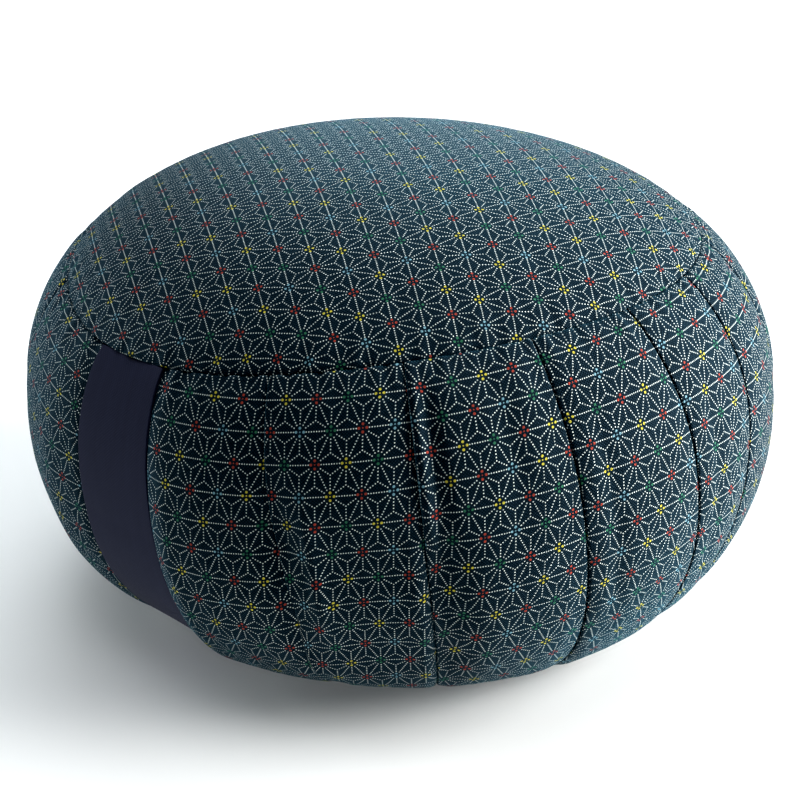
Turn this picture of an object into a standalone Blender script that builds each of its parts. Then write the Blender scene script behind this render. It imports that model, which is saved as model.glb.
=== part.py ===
"""Round zafu meditation cushion: a filled body with a pleated side, a top and a base panel, a handle.

Frame: metres, +Z up, origin on the floor under the middle of the cushion. The side that faces -Y is
the front, and azimuths are counted from it, positive towards +X. The outer surface is one meridian
curve turned round the Z axis. A place on it is an azimuth and an arc, the distance from the crown's
middle along that curve. Pleats, seams and the handle's valley are reliefs along the surface normal.
"""
import math
from collections import namedtuple

import bmesh
import bpy
import numpy as np

MM = 0.001

# The meridian curve: a superelliptic crown, a round lower side and a flat base.
WIDEST_RADIUS = 165 * MM
WIDEST_HEIGHT = 91 * MM
CROWN_RISE = 111 * MM
CROWN_FULLNESS = 2.31
REST_RADIUS = 94 * MM
OUT_OF_ROUND = 2.5 * MM
LONG_AXIS_AZIMUTH = 68.0

# Cloth and the gap kept between neighbouring pieces.
PANEL_THICKNESS = 2.0 * MM
GAP = 0.3 * MM

# The top seam runs at one arc from the crown's middle, and lower where the handle pulls on it.
TOP_SEAM_ARC = 137 * MM
TOP_SEAM_PULL = 27 * MM
TOP_SEAM_PULL_AZIMUTH = -50.0
TOP_SEAM_PULL_SPREAD = 50.0
BASE_SEAM_REACH = 117 * MM
SEAM_DIP = 1.4 * MM
SEAM_DIP_WIDTH = 7 * MM

# Knife pleats of the side band. Each turns a little between the two seams.
Pleat = namedtuple("Pleat", ("azimuth_at_top", "azimuth_at_base", "depth_mm"))
PLEATS = [Pleat(*row) for row in (
    (-78, -86, 3.4),
    (-22, -18, 1.6),
    (0, 7, 4.0),
    (22, 30, 3.6),
    (42.5, 50, 3.6),
    (62, 58, 3.6),
    (82, 77, 3.2),
    (106, 104, 3.2),
    (128, 128, 3.2),
    (150, 151, 3.2),
    (172, 172, 3.2),
    (194, 193, 3.2),
    (216, 216, 3.2),
    (238, 238, 3.2),
    (260, 259, 3.2),
)]
FOLD_SLOPE_WIDTH = 4.5 * MM
FOLD_EDGE_WIDTH = 1.2 * MM
FOLD_ROLL_HEIGHT = 1.3 * MM
FOLD_ROLL_OFFSET = 5 * MM
FOLD_ROLL_WIDTH = 4 * MM
FOLD_DEPTH_AT_SEAMS = 0.45

# Between two pleats the filling pushes the cloth out, and the fold lines lie a little inside.
PANEL_BULGE = 2.6 * MM
BULGE_SQUARENESS = 0.7
FOLD_LINE_LEVEL = 0.6
SEAM_SHARE = 0.02

# The handle: a flat strap from seam to seam, lying tight in a valley of the side band.
HANDLE_AZIMUTH = -46.0
HANDLE_WIDTH = 42 * MM
HANDLE_THICKNESS = 2.5 * MM
HANDLE_TOP_DEPTH = 1.6 * MM
HANDLE_LOW_DEPTH = 4.6 * MM
HANDLE_SINK_SHARE = 0.45
HANDLE_FLAT_TURN = 9.0
VALLEY_MARGIN = 0.5 * MM
VALLEY_SHOULDER = 13 * MM

# How finely the surface is cut into faces. Offsets are in degrees, parts are shares of a width.
FOLD_OFFSETS = (-4.2, -1.3, 0.0, 0.5, 1.8)
COLUMNS_BETWEEN_FOLDS = 2
SHOULDER_PARTS = (0.0, 0.3, 0.65, 1.0)
PARTS_BEFORE_HANDLE = (0.35, 0.7)
HANDLE_COLUMNS = 6
PANEL_ROWS = 7
BAND_ROWS = 15
BASE_ROWS = 4
ROW_CROWDING = 0.055
CURVE_STEPS = 1500


def meridian_curve():
    """Dense samples of the meridian: its arc, radius, height and outward normal."""
    turn = np.linspace(0, math.pi / 2, CURVE_STEPS)
    power = 2 / CROWN_FULLNESS
    crown_radius = WIDEST_RADIUS * np.sin(turn) ** power
    crown_height = WIDEST_HEIGHT + CROWN_RISE * np.cos(turn) ** power
    lower_radius = REST_RADIUS + (WIDEST_RADIUS - REST_RADIUS) * np.cos(turn)
    lower_height = WIDEST_HEIGHT * (1 - np.sin(turn))
    rest_radius = np.linspace(REST_RADIUS, 0, CURVE_STEPS)
    radius = np.concatenate([crown_radius, lower_radius[1:], rest_radius[1:]])
    height = np.concatenate([crown_height, lower_height[1:], 0 * rest_radius[1:]])
    arc = np.concatenate([[0], np.cumsum(np.hypot(np.diff(radius), np.diff(height)))])
    run = np.gradient(radius, arc)
    rise = np.gradient(height, arc)
    length = np.hypot(run, rise)
    return arc, radius, height, -rise / length, run / length


CURVE_ARC, CURVE_RADIUS, CURVE_HEIGHT, NORMAL_OUT, NORMAL_UP = meridian_curve()
WHOLE_ARC = CURVE_ARC[-1]


def place(azimuth, arc, relief):
    """Points at azimuths (degrees) and arcs, lifted along the surface normal by relief."""
    azimuth, arc, relief = np.broadcast_arrays(azimuth, arc, relief)
    turn = np.radians(azimuth)
    stretch = OUT_OF_ROUND / WIDEST_RADIUS * np.cos(2 * (turn - math.radians(LONG_AXIS_AZIMUTH)))
    radius = np.interp(arc, CURVE_ARC, CURVE_RADIUS) * (1 + stretch)
    height = np.interp(arc, CURVE_ARC, CURVE_HEIGHT)
    radius = radius + relief * np.interp(arc, CURVE_ARC, NORMAL_OUT)
    height = height + relief * np.interp(arc, CURVE_ARC, NORMAL_UP)
    return np.stack([radius * np.sin(turn), -radius * np.cos(turn), height], axis=-1)


def turn_between(azimuth, other):
    """Signed turn in degrees from other to azimuth, within half a circle."""
    return (np.asarray(azimuth) - other + 180) % 360 - 180


def top_seam(azimuth):
    """Arc of the top seam at each azimuth."""
    off = turn_between(azimuth, TOP_SEAM_PULL_AZIMUTH) / TOP_SEAM_PULL_SPREAD
    return TOP_SEAM_ARC + TOP_SEAM_PULL * np.exp(-off ** 2)


BASE_SEAM_ARC = WHOLE_ARC - BASE_SEAM_REACH


def seam_dip(distance):
    """The cloth dips into a seam, most at the stitches."""
    return -SEAM_DIP * np.exp(-(distance / SEAM_DIP_WIDTH) ** 2)


def band_turn(azimuth_at_top):
    """How far each azimuth of the top seam has turned when it reaches the base seam."""
    tops = np.array([pleat.azimuth_at_top for pleat in PLEATS], dtype=float)
    turns = np.array([pleat.azimuth_at_base for pleat in PLEATS], dtype=float) - tops
    return np.interp(azimuth_at_top, tops, turns, period=360)


def fold_relief(across):
    """Section of one pleat, at a distance across it: a soft slope, a steep edge and a rolled fold."""
    width = np.where(across < 0, FOLD_SLOPE_WIDTH, FOLD_EDGE_WIDTH)
    groove = -np.exp(-(across / width) ** 2)
    roll = np.exp(-((across - FOLD_ROLL_OFFSET) / FOLD_ROLL_WIDTH) ** 2)
    return groove, FOLD_ROLL_HEIGHT * roll


def handle_depth(share):
    """How far the handle's outer face lies under the round surface, at a share of the band."""
    sunk = np.minimum(1, share / HANDLE_SINK_SHARE)
    return HANDLE_TOP_DEPTH + (HANDLE_LOW_DEPTH - HANDLE_TOP_DEPTH) * sunk


def handle_face(share, turn):
    """Relief of the handle's outer face: it lies flat across, so it rises a little to its edges."""
    flat_turn = np.radians(np.clip(turn, -HANDLE_FLAT_TURN, HANDLE_FLAT_TURN))
    flat_rise = WIDEST_RADIUS * (1 / np.cos(flat_turn) - 1)
    return flat_rise - handle_depth(share)


def panel_relief(azimuth_at_top):
    """Bulge of the cloth between two neighbouring pleats, from fold to fold."""
    starts = np.array([pleat.azimuth_at_top for pleat in PLEATS], dtype=float)
    order = (azimuth_at_top - starts[0]) % 360
    marks = np.append((starts - starts[0]) % 360, 360)
    panel = np.clip(np.searchsorted(marks, order, side="right") - 1, 0, len(starts) - 1)
    within = (order - marks[panel]) / (marks[panel + 1] - marks[panel])
    return PANEL_BULGE * (np.sin(np.pi * within) ** BULGE_SQUARENESS - FOLD_LINE_LEVEL)


def band_relief(azimuth_at_top, share):
    """Relief of the side band at a column's azimuth and a share of the way down the band."""
    ease = np.sin(np.pi * np.clip(share, SEAM_SHARE, 1 - SEAM_SHARE)) ** 0.5
    relief = panel_relief(azimuth_at_top) * ease
    fold_ease = FOLD_DEPTH_AT_SEAMS + (1 - FOLD_DEPTH_AT_SEAMS) * ease
    for pleat in PLEATS:
        across = np.radians(turn_between(azimuth_at_top, pleat.azimuth_at_top)) * WIDEST_RADIUS
        groove, roll = fold_relief(across)
        relief = relief + pleat.depth_mm * MM * groove * fold_ease + roll * ease
    turn = turn_between(azimuth_at_top, HANDLE_AZIMUTH)
    across = np.abs(np.radians(turn)) * WIDEST_RADIUS
    beyond = (across - HANDLE_WIDTH / 2 - VALLEY_MARGIN) / VALLEY_SHOULDER
    beyond = np.clip(beyond, 0, 1)
    share_of_valley = 1 - beyond * beyond * (3 - 2 * beyond)
    floor = handle_face(share, turn) - HANDLE_THICKNESS - GAP
    return relief + (floor - relief) * share_of_valley


def column_azimuths():
    """Azimuths at the top seam of the mesh columns: close together at each fold and at the handle."""
    half_handle = math.degrees(HANDLE_WIDTH / 2 / WIDEST_RADIUS)
    margin = math.degrees(VALLEY_MARGIN / WIDEST_RADIUS)
    shoulder = math.degrees(VALLEY_SHOULDER / WIDEST_RADIUS)
    handle_turns = list(np.linspace(-half_handle, half_handle, HANDLE_COLUMNS))
    for part in SHOULDER_PARTS:
        edge = half_handle + margin + shoulder * part
        handle_turns = [-edge, *handle_turns, edge]
    columns = []
    for index, pleat in enumerate(PLEATS):
        here = [pleat.azimuth_at_top + offset for offset in FOLD_OFFSETS]
        following = PLEATS[(index + 1) % len(PLEATS)].azimuth_at_top + FOLD_OFFSETS[0]
        room = (following - here[-1]) % 360
        columns += here
        if (HANDLE_AZIMUTH - here[-1]) % 360 < room:
            columns += [HANDLE_AZIMUTH + turn for turn in handle_turns]
            left = HANDLE_AZIMUTH + handle_turns[0]
            columns += [here[-1] + (left - here[-1]) * part for part in PARTS_BEFORE_HANDLE]
        else:
            parts = np.arange(1, COLUMNS_BETWEEN_FOLDS + 1) / (COLUMNS_BETWEEN_FOLDS + 1)
            columns += [here[-1] + room * part for part in parts]
    return np.sort(np.array([(azimuth + 180) % 360 - 180 for azimuth in columns]))


COLUMNS = column_azimuths()


def band_shares():
    """Rows of the side band, as shares of its height, closer together near both seams."""
    even = np.linspace(0, 1, BAND_ROWS)
    return even - ROW_CROWDING * np.sin(2 * np.pi * even)


def band_point(azimuth_at_top, share, relief):
    """A point of the side band's outer surface, or of a surface that follows it."""
    start = top_seam(azimuth_at_top) + GAP / 2
    end = BASE_SEAM_ARC - GAP / 2
    arc = start + (end - start) * share
    azimuth = azimuth_at_top + band_turn(azimuth_at_top) * share
    dip = seam_dip(arc - start) + seam_dip(end - arc)
    return place(azimuth, arc, relief + dip)


def crown_rings(edge_gap, offset, rows):
    """Rings of the top panel's surface, from the crown's middle out to its seam."""
    edge = top_seam(COLUMNS) + edge_gap
    rings = []
    for share in np.linspace(0, 1, rows + 1)[1:]:
        arc = edge * share
        rings.append(place(COLUMNS, arc, offset + seam_dip(edge - arc)))
    return rings


def base_rings(edge_gap, offset, rows):
    """Rings of the base panel's surface, from its seam in to the flat it rests on."""
    azimuths = COLUMNS + band_turn(COLUMNS)
    edge = BASE_SEAM_ARC + edge_gap
    rings = []
    for share in np.linspace(0, 1, rows):
        arc = edge + (WHOLE_ARC - REST_RADIUS - edge) * share
        rings.append(place(azimuths, arc + 0 * azimuths, offset + seam_dip(arc - edge)))
    rings.append(place(azimuths, WHOLE_ARC - REST_RADIUS * 0.5 + 0 * azimuths, offset))
    return rings


def cloth_material(name, colour, roughness):
    """A plain Principled material for one kind of cloth."""
    material = bpy.data.materials.new(name)
    material.use_nodes = True
    shader = material.node_tree.nodes["Principled BSDF"]
    shader.inputs["Base Color"].default_value = (*colour, 1)
    shader.inputs["Roughness"].default_value = roughness
    shader.inputs["Metallic"].default_value = 0.0
    return material


def add_object(name, bm, material):
    """Turn a bmesh into a smooth-shaded object whose faces point outwards."""
    bmesh.ops.recalc_face_normals(bm, faces=bm.faces)
    mesh = bpy.data.meshes.new(name)
    bm.to_mesh(mesh)
    bm.free()
    mesh.materials.append(material)
    mesh.shade_smooth()
    mesh.set_sharp_from_angle(angle=math.radians(40))
    piece = bpy.data.objects.new(name, mesh)
    bpy.context.collection.objects.link(piece)
    return piece


def solid_of_rings(name, first, rings, last, material):
    """A closed solid from a stack of equal rings, closed by a fan at each end."""
    bm = bmesh.new()
    start = bm.verts.new(first)
    loops = [[bm.verts.new(point) for point in ring] for ring in rings]
    end = bm.verts.new(last)
    count = len(loops[0])
    for index in range(count):
        after = (index + 1) % count
        bm.faces.new((start, loops[0][index], loops[0][after]))
        for upper, lower in zip(loops, loops[1:]):
            bm.faces.new((upper[index], lower[index], lower[after], upper[after]))
        bm.faces.new((loops[-1][index], end, loops[-1][after]))
    return add_object(name, bm, material)


def make_side_band(material):
    """The filled body: its pleated side is the outer surface, and both panels lie in shallow seats."""
    seat = -PANEL_THICKNESS - GAP
    rings = crown_rings(GAP / 2, seat, PANEL_ROWS)
    for share in band_shares():
        rings.append(band_point(COLUMNS, share, band_relief(COLUMNS, share)))
    rings += base_rings(-GAP / 2, seat, BASE_ROWS)
    return solid_of_rings("side_band", place(0, 0, seat), rings, place(0, WHOLE_ARC, seat), material)


def make_top_panel(material):
    """The round top panel: a crowned sheet of cloth that ends at the top seam."""
    outer = crown_rings(-GAP / 2, 0, PANEL_ROWS)
    inner = crown_rings(-GAP / 2, -PANEL_THICKNESS, PANEL_ROWS)
    rings = outer + inner[::-1]
    return solid_of_rings("top_panel", place(0, 0, 0), rings, place(0, 0, -PANEL_THICKNESS), material)


def make_base_panel(material):
    """The round base panel: flat where it rests, and turned up to the base seam."""
    outer = base_rings(GAP / 2, 0, BASE_ROWS)
    inner = base_rings(GAP / 2, -PANEL_THICKNESS, BASE_ROWS)
    rings = inner[::-1] + outer
    inside = place(0, WHOLE_ARC, -PANEL_THICKNESS)
    return solid_of_rings("base_panel", inside, rings, place(0, WHOLE_ARC, 0), material)


def make_handle(material):
    """The strap handle: a flat strip from the top seam to the base seam, clear of the band by GAP."""
    half = math.degrees(HANDLE_WIDTH / 2 / WIDEST_RADIUS)
    inside = np.abs(turn_between(COLUMNS, HANDLE_AZIMUTH)) < half + 0.01
    columns = COLUMNS[inside]
    turn = turn_between(columns, HANDLE_AZIMUTH)
    shares = band_shares()
    end_gap = GAP / (BASE_SEAM_ARC - TOP_SEAM_ARC - TOP_SEAM_PULL)
    shares[0] += end_gap
    shares[-1] -= end_gap
    bm = bmesh.new()
    loops = []
    for share in shares:
        face = handle_face(share, turn)
        outer = band_point(columns, share, face)
        inner = band_point(columns, share, face - HANDLE_THICKNESS)
        loops.append([bm.verts.new(point) for point in (*outer, *inner[::-1])])
    count = len(loops[0])
    for upper, lower in zip(loops, loops[1:]):
        for index in range(count):
            after = (index + 1) % count
            bm.faces.new((upper[index], lower[index], lower[after], upper[after]))
    for loop in (loops[0], loops[-1]):
        for index in range(count // 2 - 1):
            bm.faces.new((loop[index], loop[index + 1], loop[-2 - index], loop[-1 - index]))
    return add_object("handle", bm, material)


def main():
    for piece in list(bpy.data.objects):
        bpy.data.objects.remove(piece, do_unlink=True)
    printed = cloth_material("printed_cotton", (0.012, 0.030, 0.045), 0.85)
    plain = cloth_material("plain_cotton", (0.012, 0.014, 0.030), 0.9)
    make_side_band(printed)
    make_top_panel(printed)
    make_base_panel(printed)
    make_handle(plain)


main()
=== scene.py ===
"""Looks of a round zafu meditation cushion: pleated printed cotton, two round panels and a strap handle.

Everything is one meridian curve turned round Z. A place on the cushion is an azimuth in degrees,
counted from the front (-Y) towards +X, and an arc: the distance from the crown's middle along the
curve. Folds, creases and the strap's valley are reliefs along the surface normal. The print follows
each cloth's own UV map, which holds metres along the rows of the print and across them.
"""

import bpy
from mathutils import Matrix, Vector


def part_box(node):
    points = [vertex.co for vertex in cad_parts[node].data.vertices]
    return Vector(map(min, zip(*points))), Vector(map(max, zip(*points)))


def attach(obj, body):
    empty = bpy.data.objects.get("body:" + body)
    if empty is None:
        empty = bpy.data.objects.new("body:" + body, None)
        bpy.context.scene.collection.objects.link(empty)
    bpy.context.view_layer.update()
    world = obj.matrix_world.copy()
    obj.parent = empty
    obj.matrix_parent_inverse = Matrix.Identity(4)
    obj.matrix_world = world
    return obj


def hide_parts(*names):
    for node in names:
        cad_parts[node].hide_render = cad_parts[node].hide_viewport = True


bl_info = {
    "name": "Zafu Meditation Cushion",
    "version": (1, 0, 0),
    "blender": (4, 5, 0),
    "location": "3D View > Sidebar > Zafu",
    "description": "Sews the printed cover, the pleats and the strap of a round cushion over its solids",
    "category": "Object",
}

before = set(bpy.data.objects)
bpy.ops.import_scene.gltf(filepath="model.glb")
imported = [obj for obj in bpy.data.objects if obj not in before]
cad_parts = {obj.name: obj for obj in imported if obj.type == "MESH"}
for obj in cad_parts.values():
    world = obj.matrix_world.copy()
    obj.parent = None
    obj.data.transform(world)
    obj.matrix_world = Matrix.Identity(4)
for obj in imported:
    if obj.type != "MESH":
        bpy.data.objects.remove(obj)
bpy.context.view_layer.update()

import math
from collections import namedtuple

import bpy
import numpy as np
from mathutils import Vector

CROWN_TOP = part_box("top_panel")[1].z
BODY = "root"
MM = 0.001

# Shape of the filled body, in metres and degrees.
WIDEST_RADIUS = 165 * MM
WIDEST_HEIGHT = 91 * MM
CROWN_FULLNESS = 2.31
REST_RADIUS = 94 * MM
OUT_OF_ROUND = 2.5 * MM
LONG_AXIS_AZIMUTH = 68.0
CURVE_STEPS = 1500

# Seams: each panel ends at an arc, and the strap pulls the top seam down. The filled body goes on
# under both round panels, SEAT_DEPTH below their outer faces. A disc is a round panel's flat width.
GAP = 0.3 * MM
SEAT_DEPTH = 2.3 * MM
TOP_SEAM_ARC = 137 * MM
TOP_SEAM_PULL = 27 * MM
TOP_SEAM_PULL_AZIMUTH = -50.0
TOP_SEAM_PULL_SPREAD = 50.0
BASE_SEAM_REACH = 117 * MM
SEAM_DIP = 0.65 * MM
SEAM_DIP_WIDTH = 5 * MM

# Knife pleats: where each starts and ends, its depth, and the share of the band that it runs down.
# The cloth after a pleat lies on the cloth before it. The last columns say how the print lies on
# the panel after the pleat: chart_mm along the rows stands upright at the azimuth upright_at.
Pleat = namedtuple("Pleat", "azimuth_at_top azimuth_at_base depth_mm run upright_at chart_mm")
PLEATS = [Pleat(*row) for row in (
    (-78, -86, 3.4, 1.0, -96.7, 32.6),
    (-20.4, -12.6, 2.4, 0.8, -2.9, 5.7),
    (0.6, 7.5, 4.4, 1.0, 17.5, 17.9),
    (22.2, 30.6, 3.6, 1.0, 35.7, 24.3),
    (42.6, 50.6, 3.4, 1.0, 51.2, 28.1),
    (62.4, 58, 3.2, 1.0, 41.4, 10.0),
    (82, 77, 3.2, 1.0, 92, 21.5),
    (106, 104, 3.2, 1.0, 117, 3.2),
    (128, 128, 3.2, 1.0, 139, 30.4),
    (150, 151, 3.2, 1.0, 161, 12.8),
    (172, 172, 3.2, 1.0, 183, 25.9),
    (194, 193, 3.2, 1.0, 205, 8.1),
    (216, 216, 3.2, 1.0, 227, 19.6),
    (238, 238, 3.2, 1.0, 249, 33.7),
    (260, 259, 3.2, 1.0, 271, 15.3),
)]
ALL_PLEATS = Pleat(*np.array(PLEATS).T)
# The strap parts the panel before the first front pleat, and its print lies afresh past the strap.
AFTER_STRAP = Pleat(-46, -46, 0, 1.0, -19.2, 28.4)

# Section across a pleat of full depth: down from the panel before it, into the fold, back out
# over it, and up round the folded edge onto the panel after it.
FoldPoint = namedtuple("FoldPoint", "across_mm relief_mm")
FOLD_SECTION = [FoldPoint(*row) for row in (
    (-10.0, 0.0),
    (-5.0, 0.05),
    (-2.2, 0.03),
    (-0.8, -0.2),
    (-0.15, -0.9),
    (0.8, -1.6),
    (2.6, -2.1),
    (4.3, -2.25),
    (4.9, -2.0),
    (4.0, -1.7),
    (2.2, -1.4),
    (0.95, -1.1),
    (0.45, -0.65),
    (0.5, -0.2),
    (1.2, 0.12),
    (3.2, 0.3),
    (6.0, 0.35),
    (10.0, 0.18),
    (15.0, 0.0),
)]
FULL_DEPTH_MM = 3.6
FOLD_DEPTH_AT_SEAMS = 0.45
FOLD_COLUMNS = 44
SAMPLES_PER_FOLD_POINT = 24
# A pleat that ends early starts to open at this part of its run.
TUCK_OPENS_FROM = 0.35

# Soft creases and swells of the band: azimuth at the top seam and shares of the way down.
# Each fades over a share of the band beyond its ends, and over a part of its own length inside them.
Crease = namedtuple("Crease", "azimuth first_share last_share width_mm height_mm")
CREASES = [Crease(*row) for row in (
    (-19.2, 0.24, 0.74, 5.8, -3.2),
    (-14.9, 0.30, 0.62, 3.4, 2.3),
    (-8.0, 0.34, 0.80, 27.0, -4.4),
    (1.6, 0.06, 0.40, 2.6, 1.7),
    (3.5, 0.08, 0.50, 3.6, -2.2),
    (-1.0, 0.36, 0.90, 4.0, 1.5),
    (2.9, 0.40, 0.84, 6.5, -3.6),
    (13.8, 0.06, 0.40, 5.0, -0.8),
    (26.8, 0.18, 0.66, 4.2, -0.9),
    (48.6, 0.22, 0.62, 5.0, -0.7),
    (-35.6, 0.20, 0.90, 5.5, 1.4),
    (-31.0, 0.15, 0.80, 9.0, 0.8),
    (-62.0, 0.30, 0.75, 8.0, 0.6),
)]
CREASE_FADE_BEYOND = 0.1
CREASE_FADE_INSIDE = 0.3

# The filling swells the cloth between its seams and pleats, and fold lines lie a little inside.
# The swell comes from a cloth simulation on a coarse grid, scaled to the height that most of it has.
PANEL_SWELL = 1.7 * MM
MOST_SWELL = 4.0 * MM
SWELL_PERCENTILE = 95
SWELL_SQUARENESS = 0.7
FOLD_LINE_LEVEL = 0.6
SEAM_SHARE = 0.02
CROWN_UNEVENNESS = 0.5
SWELL_COLUMNS = 240
SWELL_CROWN_ROWS = 26
SWELL_BAND_ROWS = 44
SWELL_BASE_ROWS = 3
SWELL_BASE_START = 12 * MM
SWELL_FRAMES = 20
SWELL_PRESSURE = 40
CLOTH_MASS = 0.15
CLOTH_GROWTH = 0.03

# What holds the coarse cloth: a strip beside each pleat, a short tuck for a part of its run, the
# deep part of the strap's valley, and the base from some way past its seam.
HELD_REACH = 3.5 * MM
HELD_TUCK_PART = 0.5
HELD_VALLEY = 0.6
HELD_PAST_BASE_SEAM = 20 * MM

# Puckers beside the seams: numbers of waves round the cushion, with their phases. They turn a
# little from one cloth to the next.
PUCKER_HEIGHT = 0.22 * MM
PUCKER_REACH = 9 * MM
PUCKER_WAVES = ((67, 0.4), (101, 2.1), (143, 4.0))
CROWN_PUCKER_TURN = 3
BASE_PUCKER_TURN = 7

# The strap lies flat in a valley: steep on its right, where the cloth bulges over its edge, and
# softer on its left. Its room is the depth of the valley's floor under its outer face, and two
# powers round off its section.
STRAP_AZIMUTH = -46.0
STRAP_TOP_DEPTH = 0.9 * MM
STRAP_LOW_DEPTH = 4.6 * MM
STRAP_SINK_SHARE = 0.45
STRAP_FLAT_TURN = 9.0
STRAP_ROOM = 2.5 * MM
STRAP_EDGE_POWER = 0.16
STRAP_FACE_POWER = 0.4
STRAP_END_SHARE = 0.002
Shoulder = namedtuple("Shoulder", "margin width power")
RIGHT_SHOULDER = Shoulder(-0.9 * MM, 12 * MM, 2.6)
LEFT_SHOULDER = Shoulder(0.3 * MM, 22 * MM, 1.7)
SHOULDER_PARTS = (0.0, 0.006, 0.02, 0.045, 0.085, 0.14, 0.21, 0.3, 0.41, 0.54)

# Rows and columns of the meshes.
COLUMN_STEP = 2.0 * MM
BAND_ROWS = 82
BAND_ROW_CROWDING = 0.03
CROWN_COLUMNS = 480
CROWN_ROWS = 64
CROWN_ROWS_PER_INNER_ROW = 4
BASE_ROWS = 26
BASE_FLAT_PARTS = (0.25, 0.5, 0.8)
LINING_ROWS = 6
STRAP_COLUMNS = 30
STRAP_ROWS = 110

# How the chart of the print lies on the two round panels: turned, and moved from their middles.
CROWN_CHART_TURN = 12.2
CROWN_CHART_MIDDLE = (3.06 * MM, 18.04 * MM)
BASE_CHART_TURN = 57.0
BASE_CHART_MIDDLE = (4.0 * MM, 9.0 * MM)
ROW_DROP_LEAST = 3.5 * MM
ROW_DROP_FRONT = 7.5 * MM
ROW_DROP_SPREAD = 45.0

# The camera stands where the photograph was taken. Pixels are of its 800 x 800 frame.
PHOTO_SIZE = 800
AIM_PIXEL = (399.2, 365.6)
AIM_HEIGHT = 0.099
CAMERA_ELEVATION = 24.0
CAMERA_DISTANCE = 0.825
CAMERA_LENS = 81.79
CAMERA_CLIP = 0.05
BLACK_LEVEL = 0.006


def linear(code):
    """Turn an sRGB hex colour into linear red, green and blue."""
    parts = [int(code[start:start + 2], 16) / 255 for start in (1, 3, 5)]
    return tuple(part / 12.92 if part <= 0.04045 else ((part + 0.055) / 1.055) ** 2.4 for part in parts)


def size(name, description, default):
    """A property that holds a length."""
    return bpy.props.FloatProperty(name=name, description=description, default=default, unit="LENGTH")


def colour(name, description, code):
    """A property that holds a colour, from its sRGB hex code."""
    return bpy.props.FloatVectorProperty(name=name, description=description, default=linear(code),
                                         subtype="COLOR")


class ZafuSizes(bpy.types.PropertyGroup):
    """Sizes of the cloth and of its print."""
    cloth_thickness: size("Panel thickness", "The two round panels with their turned seams", 1.6 * MM)
    strap_width: size("Strap width", "Width of the strap handle", 42 * MM)
    strap_thickness: size("Strap thickness", "Thickness of the folded strap", 2.3 * MM)
    star_spacing: size("Star spacing", "Distance between two stars of a printed row", 11.8 * MM)
    row_spacing: size("Row spacing", "Distance between two printed rows", 12.1 * MM)
    dot_width: size("Dot width", "Diameter of one printed dot", 0.57 * MM)
    thread_pitch: size("Thread pitch", "Distance between two threads of the print, as drawn", 0.6 * MM)


class ZafuColours(bpy.types.PropertyGroup):
    """Colours of the print, the strap and the floor."""
    ground: colour("Ground", "Dyed ground of the print", "#1b262f")
    dots: colour("Dots", "Dotted lines", "#e6ece6")
    red: colour("Red", "Red flowers", "#b65746")
    yellow: colour("Yellow", "Yellow flowers", "#d8cc5c")
    green: colour("Green", "Green flowers", "#4f8567")
    blue: colour("Blue", "Light blue flowers", "#8fb3be")
    strap: colour("Strap", "Plain cotton of the strap", "#383b50")
    floor: colour("Floor", "Pale floor", "#f2f2f0")


def smooth_step(value, start, end):
    """0 before start, 1 after end, and a smooth 3t^2 - 2t^3 between."""
    part = np.clip((value - start) / (end - start), 0, 1)
    return part * part * (3 - 2 * part)


def turn_between(azimuth, other):
    """Signed turn in degrees from other to azimuth, within half a circle."""
    return (np.asarray(azimuth) - other + 180) % 360 - 180


# ---------------------------------------------------------------- surface


def meridian_curve():
    """Dense samples of the meridian: arc, radius, height and outward normal.

    Crown: radius = R sin(t)^(2/n), height = Z + rise cos(t)^(2/n). Lower side: a quarter ellipse
    down to the rest radius. Then flat in to the middle.
    """
    turn = np.linspace(0, math.pi / 2, CURVE_STEPS)
    power = 2 / CROWN_FULLNESS
    crown_radius = WIDEST_RADIUS * np.sin(turn) ** power
    crown_height = WIDEST_HEIGHT + (CROWN_TOP - WIDEST_HEIGHT) * np.cos(turn) ** power
    lower_radius = REST_RADIUS + (WIDEST_RADIUS - REST_RADIUS) * np.cos(turn)
    lower_height = WIDEST_HEIGHT * (1 - np.sin(turn))
    rest_radius = np.linspace(REST_RADIUS, 0, CURVE_STEPS)
    radius = np.concatenate([crown_radius, lower_radius[1:], rest_radius[1:]])
    height = np.concatenate([crown_height, lower_height[1:], 0 * rest_radius[1:]])
    arc = np.concatenate([[0], np.cumsum(np.hypot(np.diff(radius), np.diff(height)))])
    run = np.gradient(radius, arc)
    rise = np.gradient(height, arc)
    length = np.hypot(run, rise)
    return arc, radius, height, -rise / length, run / length


CURVE_ARC, CURVE_RADIUS, CURVE_HEIGHT, NORMAL_OUT, NORMAL_UP = meridian_curve()
WHOLE_ARC = CURVE_ARC[-1]
BASE_SEAM_ARC = WHOLE_ARC - BASE_SEAM_REACH


def radius_at(azimuth, arc):
    """Radius of the slightly oval cushion: R(arc) times 1 + k cos 2(azimuth - long axis)."""
    oval = np.cos(2 * np.radians(np.asarray(azimuth) - LONG_AXIS_AZIMUTH))
    return np.interp(arc, CURVE_ARC, CURVE_RADIUS) * (1 + OUT_OF_ROUND / WIDEST_RADIUS * oval)


def place(azimuth, arc, relief):
    """Points at azimuths and arcs, lifted along the surface normal by relief."""
    azimuth, arc, relief = np.broadcast_arrays(azimuth, arc, relief)
    turn = np.radians(azimuth)
    radius = radius_at(azimuth, arc) + relief * np.interp(arc, CURVE_ARC, NORMAL_OUT)
    height = np.interp(arc, CURVE_ARC, CURVE_HEIGHT) + relief * np.interp(arc, CURVE_ARC, NORMAL_UP)
    return np.stack([radius * np.sin(turn), -radius * np.cos(turn), height], axis=-1)


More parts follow.
